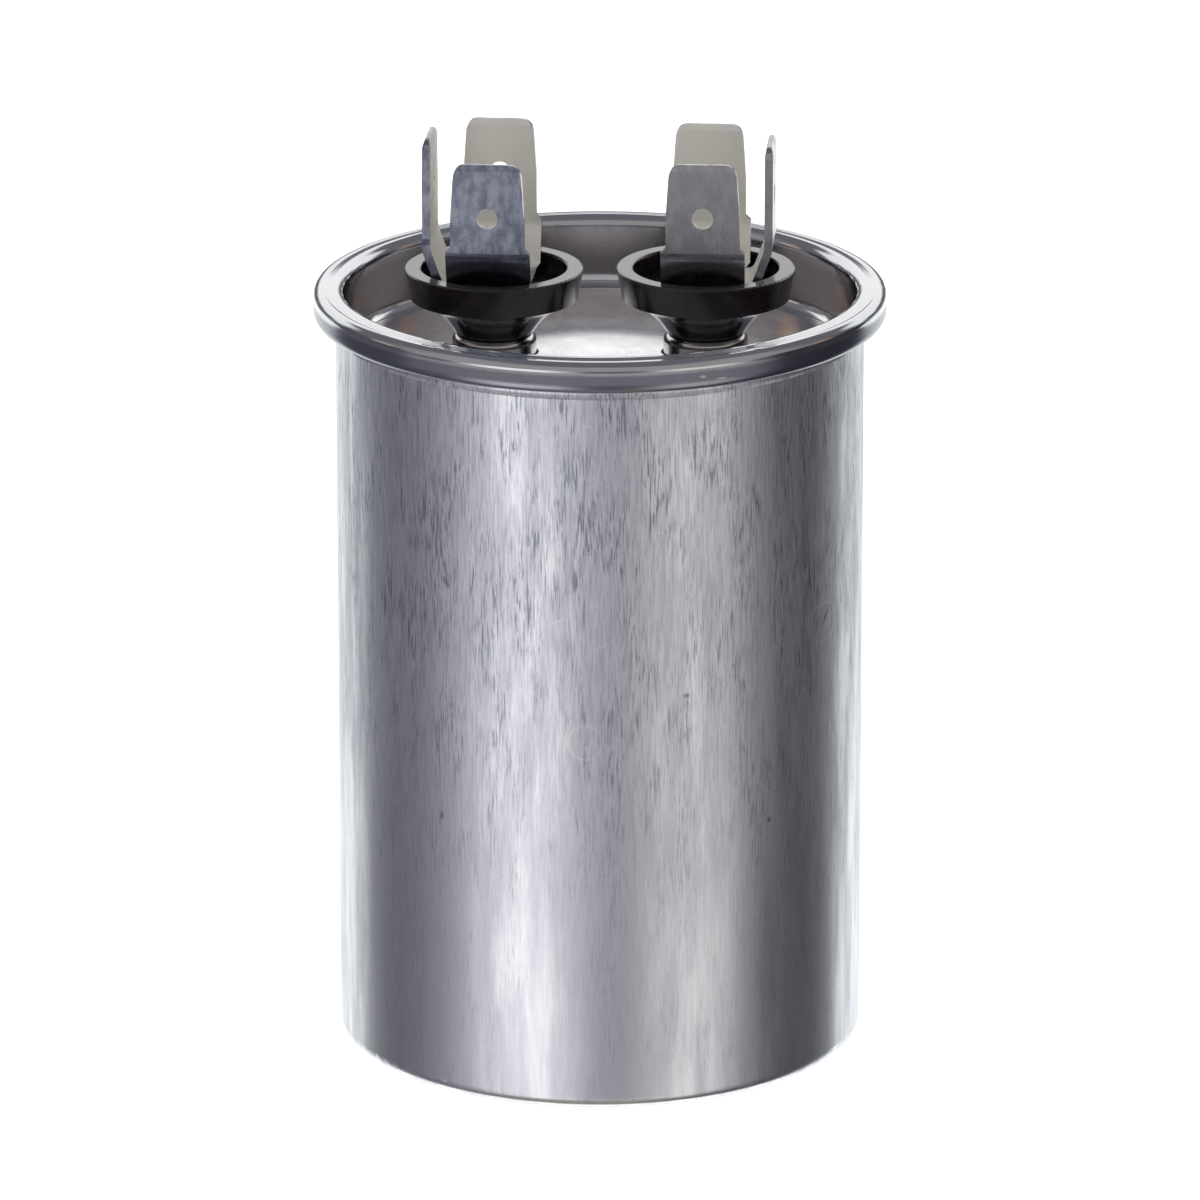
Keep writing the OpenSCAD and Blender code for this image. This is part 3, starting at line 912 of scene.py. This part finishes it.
@dataclass
class Studio:
    """Floor, lamps, surroundings and camera. Lengths are in metres, the lens and its film in mm."""

    reach: float = 3.0
    aim_height: float = 38.3 * MM
    distance: float = 0.8281
    eye_height: float = 0.2993
    lens: float = 303.5
    sensor: float = 36.0
    nearest: float = 0.05
    farthest: float = 20.0
    paper: tuple[str, str] = ("#eeeeec", "#f4f4f2")
    paper_weave: Grain = Grain((3.0, 3.0, 3.0), 2.0, 0.5)
    paper_glow: float = 0.6
    room: str = "#8a8a94"
    room_strength: float = 0.78
    ambient: float = 0.55
    cards: tuple[Card, ...] = (  # turn, half width, soft, low, high, fade, colour and strength
        # Pale wall in front and above: shows in the collars and in the tabs' outer sides.
        Card(0.0, 70.0, 40.0, 8.0, 50.0, 12.0, "#b4b2b4", 1.0),
        # Floor of the room: shows under every edge.
        Card(0.0, 180.0, 1.0, -90.0, -55.0, 10.0, "#a6a69a", 0.9),
        # Two strips low in front: the bright columns left and right of the can's middle.
        Card(-34.0, 7.0, 25.0, -50.0, -8.0, 9.0, "#ffffff", 1.3),
        Card(40.0, 6.0, 22.0, -50.0, -8.0, 9.0, "#fffdf8", 0.95),
        # Two dark flags at the sides: the dark columns of the can.
        Card(-104.0, 14.0, 14.0, -80.0, 5.0, 12.0, "#6c6c74", 0.8),
        Card(100.0, 20.0, 20.0, -80.0, 5.0, 12.0, "#5c5c66", 0.5),
        # White backdrop, low: the can's bright outer edges.
        Card(180.0, 47.0, 8.0, -70.0, -9.0, 6.0, "#fbfffd", 1.36),
        # White backdrop, high: the panel's white patch and the crown. The gap between the two
        # backdrops gives the rim its dark line at the back.
        Card(180.0, 50.0, 10.0, 13.0, 29.0, 5.0, "#ffffff", 1.35),
        # Two small warm cards: the copper patches on the recess's wall.
        Card(100.0, 4.0, 4.0, 13.0, 21.0, 4.0, "#ffdcc8", 0.45),
        Card(-97.0, 4.0, 4.0, 13.0, 21.0, 4.0, "#ffe2d2", 0.7),
    )
    lamps: tuple[Lamp, ...] = (
        Lamp("key_lamp", (-0.5, -0.6, 0.7), side=0.5, watts=4.5),
        Lamp("fill_lamp", (0.6, -0.5, 0.5), side=0.5, watts=2.5),
        Lamp("back_lamp", (0.0, 0.7, 0.6), side=0.6, watts=3.0),
    )

    def floor(self) -> None:
        """Lay a pale floor that looks white and still takes the object's shadow.

        It is hidden from reflections, so that the metal shows the cards and not the paper.
        """
        mesh = bpy.data.meshes.new("studio_floor")
        signs = ((-1, -1), (1, -1), (1, 1), (-1, 1))
        corners = [(sx * self.reach, sy * self.reach, 0.0) for sx, sy in signs]
        mesh.from_pydata(corners, [], [(0, 1, 2, 3)])
        floor = bpy.data.objects.new("studio_floor", mesh)
        bpy.context.scene.collection.objects.link(floor)
        finish = Finish("paper_white_floor")
        # Two tones of the paper, mixed by the weave's noise.
        paper_grey, paper_pale = (linear(colour) for colour in self.paper)
        tone = finish.layers(paper_grey, (finish.grain(self.paper_weave), paper_pale))
        paper = finish.add("BsdfDiffuse", tone)
        glow = finish.add("Emission", linear(WHITE), self.paper_glow)
        both = finish.add("AddShader", paper, glow)
        seen = finish.add("LightPath").outputs["Is Camera Ray"]
        finish.add("OutputMaterial", finish.add("MixShader", seen, paper, both))
        mesh.materials.append(finish.material)
        floor.visible_glossy = False

    def hang(self, lamp: Lamp) -> None:
        """Hang one lamp, hidden from reflections.

        Args:
            lamp: Its name, place, size and power.
        """
        data = bpy.data.lights.new(lamp.name, "AREA")
        data.size = lamp.side
        data.energy = lamp.watts
        hung = bpy.data.objects.new(lamp.name, data)
        hung.location = lamp.place
        aim = Vector((0.0, 0.0, self.aim_height)) - Vector(lamp.place)
        hung.rotation_euler = aim.to_track_quat("-Z", "Y").to_euler()
        hung.visible_glossy = False
        bpy.context.scene.collection.objects.link(hung)

    def mask(self, nodes: Nodes, look: Any, rise: Any, card: Card) -> Any:
        """Find where in the surroundings a card is.

        Args:
            nodes: The world's nodes.
            look: The direction that is looked in.
            rise: That direction's angle above the horizon, in radians.
            card: The card.

        Returns:
            How much of the card there is in that direction, from 0 to 1.
        """
        straight = {"Vector": look, "Angle": -math.radians(card.turn)}
        axes = nodes.add(
            "SeparateXYZ", nodes.add("VectorRotate", named=straight, rotation_type="Z_AXIS")
        )
        ahead = nodes.add("Math", axes.outputs["Y"], -1.0, operation="MULTIPLY")
        aside = nodes.add("Math", axes.outputs["X"], ahead, operation="ARCTAN2")
        off = nodes.add("Math", aside, operation="ABSOLUTE")
        mask: Any = 1.0
        for value, outer, inner in (
            (off, card.half_width + card.soft, card.half_width),
            (rise, card.low - card.fade, card.low),
            (rise, card.high + card.fade, card.high),
        ):
            span = (math.radians(outer), math.radians(inner), 0.0, 1.0)
            edge = nodes.add("MapRange", value, *span, **SMOOTH)
            mask = nodes.add("Math", mask, edge, operation="MULTIPLY")
        return mask

    def surroundings(self) -> None:
        """Surround the object with the room, its cards and the white backdrop.

        Reflections show the room and the cards, the camera and clear pieces see plain white, and
        all other light is an even ambient one.
        """
        world = bpy.data.worlds.new("studio")
        bpy.context.scene.world = world
        world.use_nodes = True
        nodes = Nodes(world.node_tree)
        look = nodes.add("TexCoord").outputs["Generated"]
        upright = nodes.add("SeparateXYZ", look).outputs["Z"]
        rise = nodes.add("Math", upright, operation="ARCSINE")
        tone = nodes.layers(
            linear(self.room, self.room_strength),
            *(
                (self.mask(nodes, look, rise, card), linear(card.colour, card.strength))
                for card in self.cards
            ),
        )
        path = nodes.add("LightPath").outputs
        plain = nodes.add("Background", linear(WHITE), self.ambient)
        walls = nodes.add("Background", tone, 1.0)
        white = nodes.add("Background", linear(WHITE), 1.0)
        shown = nodes.add("MixShader", path["Is Glossy Ray"], plain, walls)
        clear = nodes.add(
            "Math", path["Is Camera Ray"], path["Is Transmission Ray"], operation="MAXIMUM"
        )
        nodes.add("OutputWorld", nodes.add("MixShader", clear, shown, white))

    def camera(self) -> None:
        """Set up the camera at a long lens, a little above the lid."""
        data = bpy.data.cameras.new("camera")
        data.lens = self.lens
        data.sensor_width = self.sensor
        data.clip_start = self.nearest
        data.clip_end = self.farthest
        camera = bpy.data.objects.new("camera", data)
        camera.location = (0.0, -self.distance, self.eye_height)
        aim = Vector((0.0, 0.0, self.aim_height)) - camera.location
        camera.rotation_euler = aim.to_track_quat("-Z", "Y").to_euler()
        bpy.context.scene.collection.objects.link(camera)
        bpy.context.scene.camera = camera

    def build(self) -> None:
        """Set up the whole studio."""
        self.camera()
        self.floor()
        self.surroundings()
        for lamp in self.lamps:
            self.hang(lamp)
        bpy.context.scene.view_settings.view_transform = "Standard"


def main() -> None:
    """Dress every piece and set up the studio."""
    logging.basicConfig(level=logging.INFO)
    for assembly in (
        SealedCan(),
        TerminalStack(Side.LEFT, pale="#b0b3c0", deep="#70758a", clouding=0.75),
        TerminalStack(Side.RIGHT, pale="#c2c2c4", deep="#98989a", clouding=0.55),
        Interrupter(),
        Leads(),
        WoundElement(),
        Studio(),
    ):
        assembly.build()
        LOG.info("built %s", type(assembly).__name__)


if __name__ == "__main__":
    main()
